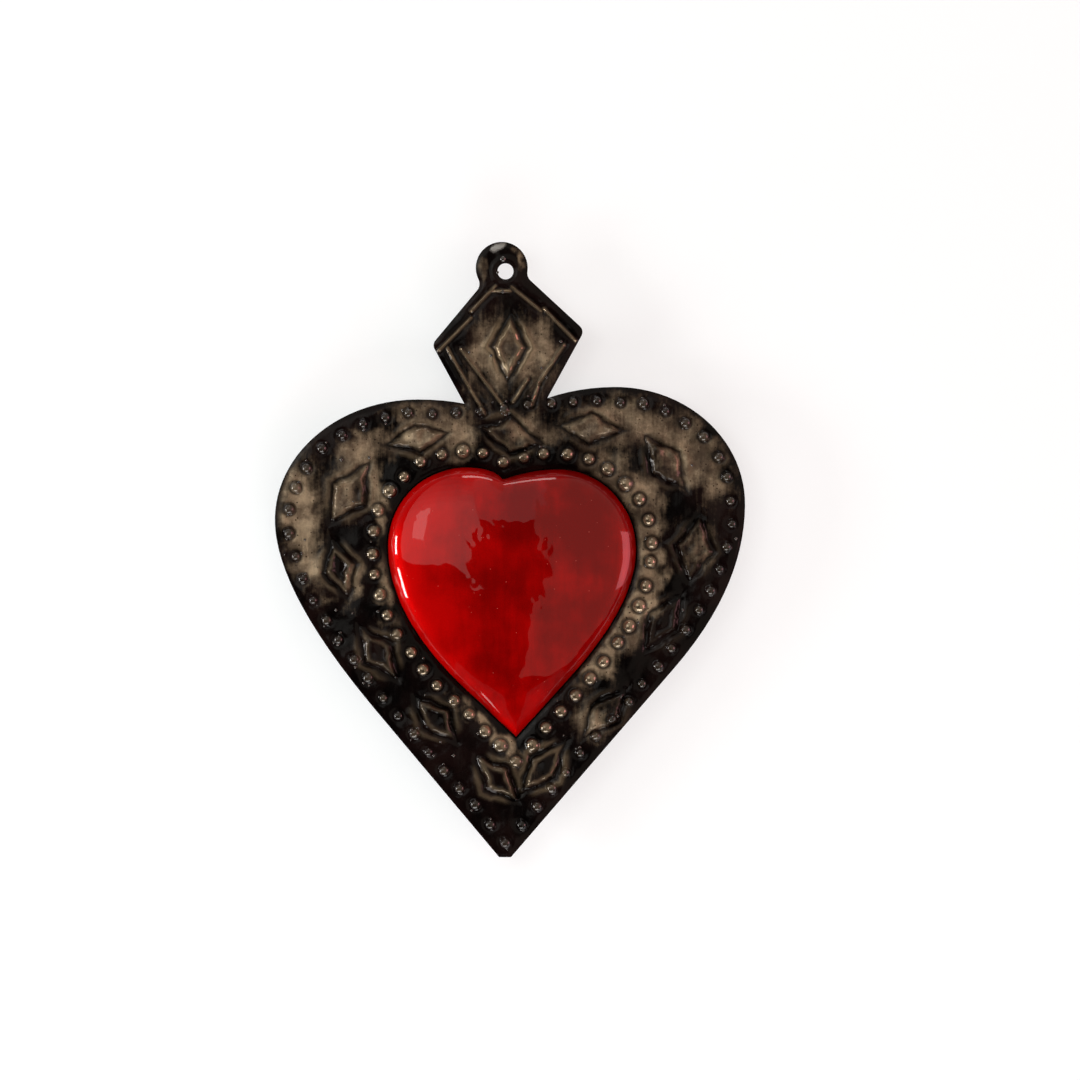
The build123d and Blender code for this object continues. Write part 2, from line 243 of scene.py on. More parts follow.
# Dirt along the outline, the window and the hang hole, and the depths of dimples in which it gathers behind
EDGE_DIRT = ((1.0, 0, 0.6), (1.0, 0, 0.65), (1.0, 1.6, 0.8))
DIMPLE_DIRT = (0.45, 1.1)

# Dome mesh: points round it, rings up its outside and inside, and the first and last angle of the rings. The
# squareness is that of the CAD dome's profile, the rounding is how far, in degrees, the outline is smoothed
# towards the peak, and the powers are how fast its tip and its notch come back towards the foot.
DOME_POINTS = 440
OUTER_RINGS = 100
INNER_RINGS = 36
RING_ANGLES = (88, 1)
DOME_STEP = 0.05
DOME_SQUARENESS = 2.4
ROUNDING_TURN = 24.0
TIP_POWER = 16
NOTCH_POWER = 10

# Unevenness of the beaten dome, with small marks in patches, and how fast it ceases at the foot
DOME_SWAYS = ((0.06, 16, 31), (0.01, 5, 32))
DENT_MARKS = (0.006, 1.8, 33)
DENT_PATCHES = (1.0, 9, 34)
DENT_RAMP = (0, 0.9)
FOOT_POWER = 40

# Heights over the plate's back between which dirt dulls the lacquer, and over its front where lacquer ends
DULL_FOOT = (1.8, 3.0)
PAINT_EDGE = 0.55
PAINT_STRAYS = ((0.3, 7, 35), (0.12, 2, 36))
PAINT_FADE = (-0.12, 0.12)

# Solder blobs: mesh, radius, height over the plate's back, fullness of their sides, lobes round their edge,
# ripples, height over the rim, and foot
SOLDER_SEED = 40
RIM_STEP = 0.2
SOLDER_POINTS = 40
SOLDER_SHARES = np.sin(np.radians(np.linspace(4, 90, 14)))
SOLDER_RADIUS = 1.8
SOLDER_HEIGHT = 0.9
SOLDER_FULLNESS = 0.6
SOLDER_SPREAD = 0.16
SOLDER_LOBES = (2, 3, 4)
LOBE_PHASES = 6.28
LOBE_SHARE = 0.5
SOLDER_RIPPLES = (0.04, 1.4, 41)
SOLDER_OVER_RIM = 0.03
SOLDER_FOOT = 0.97
SOLDER_SET_IN = 0.02

# Varnish bubbles: how many stand by small beads on the left and on the right, by large ones, and loose, how
# far they are from a bead's middle, in bead radii, and from the edges, their radii and shape, and two drops
# by the hang hole: x, z and radius
BUBBLE_SEED = 50
LEFT_BUBBLES = 34
RIGHT_BUBBLES = 8
LARGE_BUBBLES = 8
LOOSE_BUBBLES = 44
LOOSE_TRIES = 6 * LOOSE_BUBBLES
BUBBLE_REACH = (0.95, 1.4)
BUBBLE_EDGE_GAP = 0.8
BUBBLE_RADII = (0.16, 0.36)
TAB_DROPS = ((-0.5, 2.5, 0.6), (-0.5, -4.1, 0.38))
BUBBLE_POINTS = 12
BUBBLE_ANGLES = (-40, -10, 20, 45, 70)
BUBBLE_FLATNESS = 0.75

# The photograph: 0.2 mm to a pixel, with the hang hole's middle at this pixel
PHOTO_PIXELS = 1080
PIXEL = 0.2
HOLE_PIXEL = (505.5, 271.5)
CAMERA_DISTANCE = 2000.0
SENSOR = 36.0

# The stage: a wall behind the object, a floor along its foot, and the surroundings
WALL_GAP = 4.0
STAGE_REACH = 3000.0
WALL_COLOUR = (0.47, 0.5, 0.525, 1.0)
WALL_GLOW = 0.57
FLOOR_COLOUR = (0.7, 0.7, 0.7, 1.0)
PAPER_SHADE = 0.985
SKY_COLOUR = (1.0, 0.985, 0.96, 1.0)

# A folding screen in front: its upright edges in plan, then its lit leaves, each with its panel, low and
# high edge, radiance and colour
SCREEN_FOLDS = ((-0.66, -0.35), (-0.1, -0.8), (0.084, -0.8), (0.82, -0.19))
SCREEN_NAMES = ("left_screen", "middle_screen", "right_screen")
LEFT_COLOUR = (1.0, 0.97, 0.9)
SCREEN_LEAVES = (
    (0, -0.1, 0.34, 1.2, LEFT_COLOUR),
    (0, 0.34, 0.44, 1.0, LEFT_COLOUR),
    (0, 0.44, 0.58, 0.82, LEFT_COLOUR),
    (0, 0.58, 0.8, 0.64, LEFT_COLOUR),
    (0, 0.8, 1.2, 0.48, LEFT_COLOUR),
    (0, 1.2, 2.1, 0.34, LEFT_COLOUR),
    (1, 0.16, 2.1, 0.75, (1.0, 0.95, 0.88)),
    (2, -0.55, 2.1, 0.6, (1.0, 0.86, 0.72)),
)

# Softboxes: azimuth, 0 in front and 90 to the right, elevation, distance, width, height, radiance, colour
LAMP_WHITE = (1.0, 0.98, 0.95)
SOFTBOXES = (
    ("key_high", -77, 3, 0.7, 0.08, 0.14, 40.0, LAMP_WHITE),
    ("key_low", -76, -14, 0.7, 0.1, 0.16, 40.0, LAMP_WHITE),
    ("window", -38, 17, 0.7, 0.14, 0.24, 2.2, LAMP_WHITE),
    ("top_light", -5, 75, 0.7, 0.22, 0.1, 7.0, LAMP_WHITE),
    ("low_light", -12, -74, 0.6, 0.6, 0.24, 7.0, LAMP_WHITE),
    ("right_edge", 74, -1, 0.7, 0.3, 0.38, 5.2, (1.0, 0.4, 0.46)),
    ("rear_light", 128, 38, 0.8, 0.3, 0.2, 18.0, LAMP_WHITE),
)


def rounded_points(node):
    """A CAD node's vertices in millimetres, rounded so that split vertices fall together."""
    points = np.zeros(len(node.data.vertices) * 3)
    node.data.vertices.foreach_get("co", points)
    return np.round(points.reshape(-1, 3) / MM, 3)


def plane_loops(node, level):
    """Outlines, as lists of (x, z), of a CAD node's flat faces at one level of Y."""
    points = rounded_points(node)
    names = {}
    weld = [names.setdefault(tuple(point), len(names)) for point in points]
    edges = {}
    for polygon in node.data.polygons:
        corners = list(polygon.vertices)
        if np.all(np.abs(points[corners, 1] - level) < TOUCH):
            welded = [weld[corner] for corner in corners]
            edges.update(dict.fromkeys(around(welded)))
    follow = {start: end for start, end in edges if (end, start) not in edges}
    places = {index: (point[0], point[2]) for point, index in names.items()}
    loops = []
    while follow:
        first, here = follow.popitem()
        loop = [first]
        while here != first:
            loop.append(here)
            here = follow.pop(here)
        loops.append(np.array([places[index] for index in loop]))
    return sorted(loops, key=loop_area, reverse=True)


def around(items):
    """Pairs of neighbours round a closed list."""
    return list(zip(items, items[1:] + items[:1]))


def loop_area(loop):
    """Area inside a closed outline."""
    x, z = loop.T
    return abs(np.sum(x * np.roll(z, -1) - z * np.roll(x, -1))) / 2


def densify(loop, step):
    """A closed outline with points added so that none lie further apart than a step."""
    parts = []
    for start, end in zip(loop, np.roll(loop, -1, axis=0)):
        count = max(1, math.ceil(np.linalg.norm(end - start) / step))
        parts.append(start + (end - start) * np.linspace(0, 1, count, endpoint=False)[:, None])
    return np.concatenate(parts)


def inside(points, loop):
    """Which points lie inside a closed outline."""
    x, z = points.T
    result = np.zeros(len(points), bool)
    for (x0, z0), (x1, z1) in zip(loop, np.roll(loop, -1, axis=0)):
        if z0 != z1:
            result ^= ((z0 > z) != (z1 > z)) & (x < x0 + (z - z0) * (x1 - x0) / (z1 - z0))
    return result


def distance_to(points, loop):
    """Distance of each point from a closed outline."""
    dense = densify(loop, OUTLINE_STEP)
    tree = KDTree(len(dense))
    for index, (x, z) in enumerate(dense):
        tree.insert((x, z, 0), index)
    tree.balance()
    return np.array([tree.find((x, z, 0))[2] for x, z in points])


def even_turns(count):
    """Angles evenly spread over a full turn."""
    return np.linspace(0, TURN, count, endpoint=False)


def headings(turns):
    """Directions in the sheet at some angles."""
    return np.column_stack((np.cos(turns), np.sin(turns)))


def waves(points, wavelength, seed):
    """A smooth random field, about -1 to 1, made of crossing waves of one length."""
    rng = np.random.default_rng(SEED + seed)
    total = np.zeros(len(points))
    turns, phases = rng.uniform(0, TURN, (2, WAVE_COUNT))
    stretches = rng.uniform(*WAVE_STRETCH, WAVE_COUNT)
    for way, phase, stretch in zip(headings(turns), phases, stretches):
        total += np.cos(points @ way * TURN / (wavelength * stretch) + phase)
    return total / math.sqrt(WAVE_COUNT)


def swell(points, *layers):
    """Layers of waves added up."""
    return sum(height * waves(points, wavelength, seed) for height, wavelength, seed in layers)


def ridge(distance, height, place, width):
    """A bell that stands at a place with a height and falls off over a width."""
    return height * np.exp(-(((distance - place) / width) ** 2))


def ramp(values, low, high):
    """A smooth step from 0 at low to 1 at high."""
    share = np.clip((values - low) / (high - low), 0, 1)
    return share * share * (3 - 2 * share)


def fade(values, near, far):
    """A smooth step from 1 at near to 0 at far."""
    return 1 - ramp(values, near, far)


def ellipse_reach(points, x, z, half_length, half_width, tilt):
    """How far out points lie in a tilted ellipse, with 1 at its edge."""
    turn = math.radians(tilt)
    gap = points - (x, z)
    along = gap @ (math.cos(turn), math.sin(turn))
    across = gap @ (-math.sin(turn), math.cos(turn))
    return np.hypot(along / half_length, across / half_width)


class Bead:
    """A bead punched up from behind."""

    def __init__(self, loop, rng):
        self.centre = loop.mean(axis=0) + rng.normal(0, BEAD_STRAY, 2)
        dimple = np.ptp(loop[:, 0]) / 2
        self.large = dimple > LARGE_DIMPLE
        wall = LARGE_BEAD_WALL if self.large else SMALL_BEAD_WALL
        self.radius = (dimple + wall) * (1 + rng.uniform(-1, 1) * BEAD_SIZE_SPREAD)
        self.height = BEAD_HEIGHT * (1 + rng.uniform(-1, 1) * BEAD_HEIGHT_SPREAD)
        self.ball = (self.radius**2 + self.height**2) / (2 * self.height)
        self.shine = rng.uniform(*(LARGE_BEAD_SHINE if self.large else SMALL_BEAD_SHINE))
        self.varnish = 1.0 if self.large else SMALL_BEAD_VARNISH

    def points(self, rings):
        """Mesh points in rings round the bead."""
        parts = [self.centre[None, :]]
        for share, count in rings:
            parts.append(self.centre + headings(even_turns(count) + share) * self.radius * share)
        return np.concatenate(parts)

    def reach(self, points):
        """Distance of points from the bead's middle, in bead radii."""
        return np.linalg.norm(points - self.centre, axis=1) / self.radius

    def ring(self, reach, height, place, width):
        """A ridge round the bead."""
        return ridge((reach - place) * self.radius, height, 0, width)

    def relief(self, points):
        """Height of the bead, with the sheet drawn down in a shallow groove round it."""
        reach = self.reach(points)
        rise = np.sqrt(np.clip(self.ball**2 - (reach * self.radius) ** 2, 0, None))
        cap = np.clip(rise - (self.ball - self.height), 0, None)
        return cap + self.ring(reach, *BEAD_GROOVE)

    def top(self, points):
        """How far the bead is rubbed bright, none beyond its foot."""
        return self.shine * fade(self.reach(points), *BEAD_TOP)

    def foot(self, points):
        """1 in the ring at the foot of the bead, and all over a bead left dark."""
        reach = self.reach(points)
        return np.maximum(self.ring(reach, *BEAD_DIRT), (1 - self.shine) * fade(reach, *BEAD_COAT))

    def drop(self, points):
        """How thick varnish stands over the bead."""
        return self.varnish * fade(self.reach(points), *BEAD_VARNISH)


class Lozenge:
    """A lozenge chased into the sheet: a soft rim, a groove, and a raised middle of its own."""

    def __init__(self, loop, look, rng):
        *shift, length, width, skew, self.fill, self.shine = look
        self.centre = loop.mean(axis=0) + shift
        self.lean = rng.normal(0, LOZENGE_LEAN, 2)
        axis = max((loop[0] - loop[2], loop[1] - loop[3]), key=np.linalg.norm)
        turn = math.atan2(axis[1], axis[0])
        side = turn + math.radians(90 + skew)
        self.arms = np.array(((math.cos(turn), math.sin(turn)), (math.cos(side), math.sin(side))))
        self.arms *= np.array(((length,), (width,))) / 2
        edges = np.linalg.norm((self.arms[0] + self.arms[1], self.arms[0] - self.arms[1]), axis=1)
        self.slant = abs(np.linalg.det(self.arms)) / edges.mean()

    def shares(self, points):
        """How far points lie out along the two arms, with 1 at the tips."""
        return np.abs((points - self.centre) @ np.linalg.inv(self.arms))

    def depth(self, points):
        """Distance in from the edge of the lozenge, minus outside it."""
        return (1 - self.shares(points).sum(axis=1)) * self.slant + swell(points, *LOZENGE_WANDER)

    def beside(self, points):
        """1 beside the lozenge, falling to 0 past its sharp tips."""
        return fade(self.shares(points)[:, 0], *RIM_STOP)

    def points(self, rings, step):
        """Mesh points along lines drawn parallel to the edges."""
        corners = np.array((self.arms[0], self.arms[1], -self.arms[0], -self.arms[1]))
        shares = [1 - depth / self.slant for depth in rings]
        lines = [densify(corners * share, step) for share in shares if share > SMALLEST_RING]
        return self.centre + np.concatenate(lines)

    def relief(self, points):
        """Height of the rim, the groove and the middle."""
        depth = self.depth(points)
        force = BLOW_FORCE + swell(points, BLOW_SPREAD)
        rim = force * ridge(depth, *LOZENGE_RIM) * self.beside(points)
        groove = force * ridge(depth, *LOZENGE_GROOVE)
        middle = ramp(depth, *MIDDLE_STEP) * (MIDDLE_HEIGHT * force + (points - self.centre) @ self.lean)
        sunk = (1 - self.fill) * SINK_DEPTH * ramp(depth, *MIDDLE_SINK)
        roof = self.fill * np.interp(depth, PILLOW_SLOPE, (0, PILLOW_HEIGHT))
        return rim + groove + middle - sunk + roof

    def dirt(self, points):
        """How far the groove and a sunken middle are filled with dirt."""
        depth = self.depth(points)
        hollow = HOLLOW_DARKNESS * (1 - self.fill) * ramp(depth, *HOLLOW_DIRT)
        return np.maximum(ridge(depth, *GROOVE_DIRT), hollow)

    def crest(self, points):
        """How far the rim and the edge of the middle are rubbed bright."""
        depth = self.depth(points)
        rim = ridge(depth, *RIM_RUB) * self.beside(points)
        return self.shine * np.maximum(rim, ridge(depth, *MIDDLE_RUB))


class Line:
    """A line tooled into the finial."""

    def __init__(self, start, end):
        self.start = np.array(start)
        self.along = np.array(end) - self.start
        self.length = np.linalg.norm(self.along)
        across = np.array((-self.along[1], self.along[0])) / self.length
        self.inwards = across * np.sign((FINIAL_MIDDLE - self.start) @ across)

    def points(self, offsets, step):
        """Mesh points along lines drawn parallel to the tooled one."""
        runs = np.linspace(0, 1, max(2, round(self.length / step)))
        line = self.start + runs[:, None] * self.along
        return np.concatenate([line + self.inwards * offset for offset in offsets])

    def distance(self, points):
        """Distance of each point from the line, signed plus towards the middle of the finial."""
        gap = points - self.start
        share = np.clip(gap @ self.along / self.length**2, 0, 1)
        return np.linalg.norm(gap - share[:, None] * self.along, axis=1) * np.sign(gap @ self.inwards)


class Plate:
    """The embossed plate, read from its CAD node."""

    def __init__(self, node):
        loops = plane_loops(node, 0)
        self.outline, self.window = loops[:2]
        diamonds = [loop for loop in loops[2:] if len(loop) == 4]
        rounds = [loop for loop in loops[2:] if len(loop) != 4]
        self.hole = min(rounds, key=lambda loop: np.linalg.norm(loop.mean(axis=0)))
        rng = np.random.default_rng(SEED)
        dimples = [loop for loop in rounds if loop is not self.hole]
        dimples.sort(key=lambda loop: tuple(loop.mean(axis=0)))
        self.beads = [Bead(loop, rng) for loop in dimples]
        middle = self.window.mean(axis=0)
        diamonds.sort(key=lambda loop: ring_order(loop.mean(axis=0), middle))
        self.lozenges = [Lozenge(loop, look, rng) for loop, look in zip(diamonds, LOZENGE_LOOKS)]
        self.lines = [Line(*ends) for ends in FINIAL_LINES]

    def mesh_points(self, step, bead_rings, lozenge_rings, line_offsets):
        """Points for one face of the plate, its edges first, and the runs of points along the edges."""
        runs = [densify(loop, FRONT_STEP) for loop in (self.outline, self.window, self.hole)]
        features = [bead.points(bead_rings) for bead in self.beads]
        features += [lozenge.points(lozenge_rings, step) for lozenge in self.lozenges]
        features += [line.points(line_offsets, step) for line in self.lines]
        edge_points = np.concatenate(runs)
        grid = hexagonal_grid(edge_points.min(axis=0), edge_points.max(axis=0), step)
        kept = thinned(edge_points, self.on_sheet(np.concatenate(features)), CLOSEST)
        return thinned(kept, self.on_sheet(grid), step * GRID_GAP), runs

    def on_sheet(self, points):
        """Those points that lie on the sheet."""
        keep = inside(points, self.outline) & ~inside(points, self.window) & ~inside(points, self.hole)
        return points[keep]

    def gaps(self, points):
        """Distance of points from the outline, from the window and from the hang hole's middle."""
        to_hole = np.linalg.norm(points, axis=1)
        return distance_to(points, self.outline), distance_to(points, self.window), to_hole

    def relief(self, points):
        """Height of the beaten sheet over its flat back."""
        to_outline, to_window, to_hole = self.gaps(points)
        settled = ramp(to_window, *WINDOW_SETTLE) * ramp(to_outline, *OUTLINE_SETTLE)
        total = np.clip(SWAY_MEAN + swell(points, *SWAYS), 0, None) * settled + swell(points, HAMMER_MARKS)
        for shape in self.beads + self.lozenges:
            total += shape.relief(points)
        wander = swell(points, LINE_WANDER)
        force = LINE_FORCE + swell(points, LINE_SPREAD)
        for line in self.lines:
            gap = line.distance(points) + wander
            total += force * sum(ridge(gap, *part) for part in LINE_SECTION)
        return np.clip(total + ridge(to_hole, *HOLE_LIP), 0, None)

    def front_drop(self, points):
        """How far the front falls away where the sheet is sheared or rolled at its edges."""
        drop = sum(ridge(gap, *roll) for gap, roll in zip(self.gaps(points), EDGE_ROLLS))
        return np.clip(drop, 0, SHEET - THINNEST)


def ring_order(place, middle):
    """Sorting key that goes round from the top over the left, with the finial's lozenge last."""
    gap = place - middle
    turn = math.atan2(-gap[0], gap[1])
    return (place[1] > FINIAL_BASE, (turn + FIRST_LOZENGE_TURN) % TURN)


def hexagonal_grid(low, high, step):
    """An even grid of points over a rectangle, each row shifted by half a step."""
    row_gap = step * math.sqrt(3) / 2
    rows = []
    for index, z in enumerate(np.arange(low[1], high[1], row_gap)):
        x = np.arange(low[0] + (index % 2) * step / 2, high[0], step)
        rows.append(np.column_stack((x, np.full(len(x), z))))
    return np.concatenate(rows)


def thinned(kept, added, gap):
    """The kept points, with those added points that stay clear of all points before them."""
    cells = {}
    for x, z in kept:
        cells.setdefault((math.floor(x / gap), math.floor(z / gap)), []).append((x, z))
    chosen = []
    for x, z in added:
        column, row = math.floor(x / gap), math.floor(z / gap)
        nearby = ((column + i, row + j) for i in (-1, 0, 1) for j in (-1, 0, 1))
        near = (other for cell in nearby for other in cells.get(cell, ()))
        if all((x - a) ** 2 + (z - b) ** 2 >= gap * gap for a, b in near):
            cells.setdefault((column, row), []).append((x, z))
            chosen.append((x, z))
    return np.concatenate((kept, np.array(chosen)))


def triangulate(points, runs):
    """Triangles of the sheet: all that are reached from its last point without crossing an edge."""
    edges = []
    first = 0
    for run in runs:
        edges += around(list(range(first, first + len(run))))
        first += len(run)
    made, _, faces, *_ = delaunay_2d_cdt([Vector(point) for point in points], edges, [], 0, MELT)
    if len(made) != len(points):
        raise ValueError("points of the sheet fell together")
    sides = {}
    for index, face in enumerate(faces):
        for pair in around(face):
            sides.setdefault(frozenset(pair), []).append(index)
    for pair in edges:
        del sides[frozenset(pair)]
    waiting = [next(index for index, face in enumerate(faces) if len(points) - 1 in face)]
    reached = set(waiting)
    while waiting:
        for pair in around(faces[waiting.pop()]):
            fresh = set(sides.get(frozenset(pair), ())) - reached
            reached |= fresh
            waiting += fresh
    return np.array([faces[index] for index in sorted(reached)]), edges


def ring_faces(first, rings, count):
    """Four-sided faces between rings of points that follow each other."""
    faces = []
    for here in range(first, first + (rings - 1) * count, count):
        there = here + count
        for index in range(count):
            after = (index + 1) % count
            faces.append((here + index, there + index, there + after, here + after))
    return faces


def drop_faces(first, rings, count):
    """Faces of a drop made of rings of points, flat at both ends."""
    last = first + (rings - 1) * count
    ends = [range(first, first + count)[::-1], range(last, last + count)]
    return ring_faces(first, rings, count) + ends


def to_metres(points, heights):
    """Sheet points and their heights as vertices in the frame."""
    return np.column_stack((points[:, 0], -heights, points[:, 1])) * MM


def make_object(name, vertices, faces, material, crease=50):
    """A smooth-shaded mesh object with its faces turned outwards."""
    mesh = bpy.data.meshes.new(name)
    mesh.from_pydata([tuple(vertex) for vertex in vertices], [], [tuple(map(int, face)) for face in faces])
    shell = bmesh.new()
    shell.from_mesh(mesh)
    bmesh.ops.recalc_face_normals(shell, faces=shell.faces[:])
    shell.to_mesh(mesh)
    shell.free()
    mesh.shade_smooth()
    mesh.set_sharp_from_angle(angle=math.radians(crease))
    mesh.materials.append(material)
    piece = bpy.data.objects.new(name, mesh)
    bpy.context.scene.collection.objects.link(piece)
    return piece


def store(piece, name, values):
    """Keep one number for each vertex, for the materials to read."""
    attribute = piece.data.attributes.new(name, "FLOAT", "POINT")
    attribute.data.foreach_set("value", np.asarray(values, np.float32))


def untouched(points, patches):
    """How much of each point a set of patches leaves as it was."""
    rest = np.ones(len(points))
    for *ellipse, strength in patches:
        rest *= 1 - ridge(ellipse_reach(points, *ellipse), strength, 0, PATCH_SOFTNESS)
    return rest


def wiped_and_painted_sheen(points):
    """How far the dark patina is wiped back to the metal at each point, partly a painted sheen of reflected
    lamps.
    """
    moved = points + np.column_stack([swell(points, *layers) for layers in PATCH_STRAYS])
    return (1 - untouched(moved, WIPED_AND_SHEEN_PATCHES)) * untouched(moved, DARK_AND_SHEENLESS_PATCHES)


def build_plate(plate, material):
    """The heart plate as one closed sheet, finely meshed in front and plainly behind."""
    front, runs = plate.mesh_points(FRONT_STEP, FRONT_BEAD_RINGS, LOZENGE_RINGS, LINE_OFFSETS)
    back, _ = plate.mesh_points(BACK_STEP, BACK_BEAD_RINGS, LOZENGE_RINGS[2::3], LINE_OFFSETS[1::2])
    front_faces, edges = triangulate(front, runs)
    back_faces, _ = triangulate(back, runs)
    front_heights = plate.relief(front) + SHEET - plate.front_drop(front)
    back_relief = plate.relief(back)
    back_heights = BACK_SHARE * back_relief
    edge = slice(len(edges))
    back_heights[edge] = np.minimum(back_heights[edge], front_heights[edge] - EDGE_THICKNESS)
    below = len(front)
    walls = []
    for start, end in edges:
        walls.append((start, below + start, below + end))
        walls.append((start, below + end, end))
    faces = np.concatenate((front_faces, back_faces[:, ::-1] + below, np.array(walls)))
    vertices = np.concatenate((to_metres(front, front_heights), to_metres(back, back_heights)))
    piece = make_object("heart_plate_sheet", vertices, faces, material)

    gaps = [line.distance(front) for line in plate.lines]
    dirt = [bead.foot(front) for bead in plate.beads]
    dirt += [lozenge.dirt(front) for lozenge in plate.lozenges]
    dirt += [ridge(gap, *LINE_DIRT) for gap in gaps]
    dirt += [ridge(gap, *line) for gap, line in zip(plate.gaps(front), EDGE_DIRT)]
    polish = [bead.top(front) for bead in plate.beads]
    polish += [lozenge.crest(front) for lozenge in plate.lozenges]
    polish += [ridge(gap, *LINE_RUB) for gap in gaps]
    varnish = [bead.drop(front) for bead in plate.beads]
    worn = front + swell(front, BARE_STRAY)[:, None]
    none = np.zeros(len(back))
    looks = {
        "wiped_and_painted_sheen": (wiped_and_painted_sheen(front), none),
        "cavity": (np.max(dirt, axis=0), ramp(back_relief, *DIMPLE_DIRT)),
        "polish": (np.max(polish, axis=0), none),
        "bare": (fade(ellipse_reach(worn, *BARE_CORNER), *BARE_FADE), none + 1),
        "varnish": (np.max(varnish, axis=0), none),
    }
    for name, sides in looks.items():
        store(piece, name, np.concatenate(sides))
    return piece


class Dome:
    """The domed heart, read from its CAD node, with directions taken from the dome's peak."""

    def __init__(self, node):
        points = rounded_points(node)
        self.top = -points[:, 1].min()
        self.peak = points[points[:, 1] < TOUCH - self.top][:, (0, 2)].mean(axis=0)
        self.rim, self.foot = plane_loops(node, 0)
        self.mouth = plane_loops(node, SHEET)[1]
        foot = densify(self.foot, DOME_STEP)
        foot = np.roll(foot, -foot[:, 1].argmin(), axis=0)
        picks = np.linspace(0, len(foot), DOME_POINTS, endpoint=False).astype(int)
        self.turns = np.arctan2(*(foot[picks] - self.peak).T[::-1])
        self.ways = headings(self.turns)

    def reach(self, loop, turns):
        """Distance from the peak to an outline in each direction."""
        dense = densify(loop, DOME_STEP) - self.peak
        loop_turns = np.arctan2(dense[:, 1], dense[:, 0])
        order = loop_turns.argsort()
        return np.interp(turns, loop_turns[order], np.linalg.norm(dense, axis=1)[order], period=TURN)

    def ring(self, loop):
        """Points of an outline in each direction from the peak."""
        return self.peak + self.ways * self.reach(loop, self.turns)[:, None]

    def cap(self, loop, share):
        """A ring drawn in by a share, rounder the nearer it comes to the peak."""
        degrees = np.arange(360)
        even = np.radians(degrees)
        weights = ridge((degrees + 180) % 360 - 180, 1, 0, ROUNDING_TURN)
        spectrum = np.fft.fft(self.reach(loop, even)) * np.fft.fft(weights / weights.sum())
        smooth = np.interp(self.turns, even, np.fft.ifft(spectrum).real, period=TURN)
        corner = self.reach(loop, self.turns) - smooth
        reach = smooth + corner * share ** np.where(corner > 0, TIP_POWER, NOTCH_POWER)
        return self.peak + self.ways * (reach * share)[:, None]


def dome_sway(points, share):
    """Small unevenness of the beaten dome, none at its foot."""
    dents = ramp(swell(points, DENT_PATCHES), *DENT_RAMP) * swell(points, DENT_MARKS)
    return (swell(points, *DOME_SWAYS) + dents) * (1 - share**FOOT_POWER)


def dome_rings(dome, loop, top, count):
    """Rings of points and heights of a dome that stands on an outline at the front of the sheet."""
    power = 2 / DOME_SQUARENESS
    for angle in np.radians(np.linspace(*RING_ANGLES, count)):
        share = math.cos(angle) ** power
        points = dome.cap(loop, share)
        yield points, SHEET + (top - SHEET) * math.sin(angle) ** power + dome_sway(points, share)


def build_dome(dome, material):
    """The domed heart as one closed shell: outside, rim and hollow inside."""
    rings = []
    paint = []
    gloss = []
    for points, heights in dome_rings(dome, dome.foot, dome.top, OUTER_RINGS):
        rings.append(to_metres(points, heights))
        gloss.append(ramp(heights, *DULL_FOOT))
        paint.append(ramp(heights - SHEET - PAINT_EDGE - swell(points, *PAINT_STRAYS), *PAINT_FADE))
    in_front = ((dome.foot, SHEET), (dome.foot, 0), (dome.rim, 0))
    behind = ((dome.rim, -SHEET), (dome.mouth, -SHEET), (dome.mouth, SHEET))
    for loop, level in in_front + behind:
        rings.append(to_metres(dome.ring(loop), np.full(DOME_POINTS, level)))
    hollow = list(dome_rings(dome, dome.mouth, dome.top - SHEET, INNER_RINGS))
    rings += [to_metres(points, heights) for points, heights in reversed(hollow)]
    faces = ring_faces(0, len(rings), DOME_POINTS)
    vertices = np.concatenate(rings)
    outer_top = len(vertices)
    last = outer_top - DOME_POINTS
    tops = np.array((vertices[:DOME_POINTS].mean(axis=0), vertices[last:].mean(axis=0)))
    tops[:, 1] = vertices[0, 1], vertices[last, 1]
    for index in range(DOME_POINTS):
        after = (index + 1) % DOME_POINTS
        faces.append((outer_top, index, after))
        faces.append((outer_top + 1, last + after, last + index))
    piece = make_object("domed_heart_shell", np.concatenate((vertices, tops)), faces, material)
    hidden = np.zeros((len(rings) - OUTER_RINGS) * DOME_POINTS)
    bare = np.zeros(outer_top + 2)
    bare[(OUTER_RINGS + len(in_front)) * DOME_POINTS:] = 1
    bare[outer_top] = 0
    store(piece, "paint", np.concatenate((*paint, hidden, (1, 0))))
    store(piece, "gloss", np.concatenate((*gloss, hidden, (1, 0))))
    store(piece, "bare", bare)
    return piece


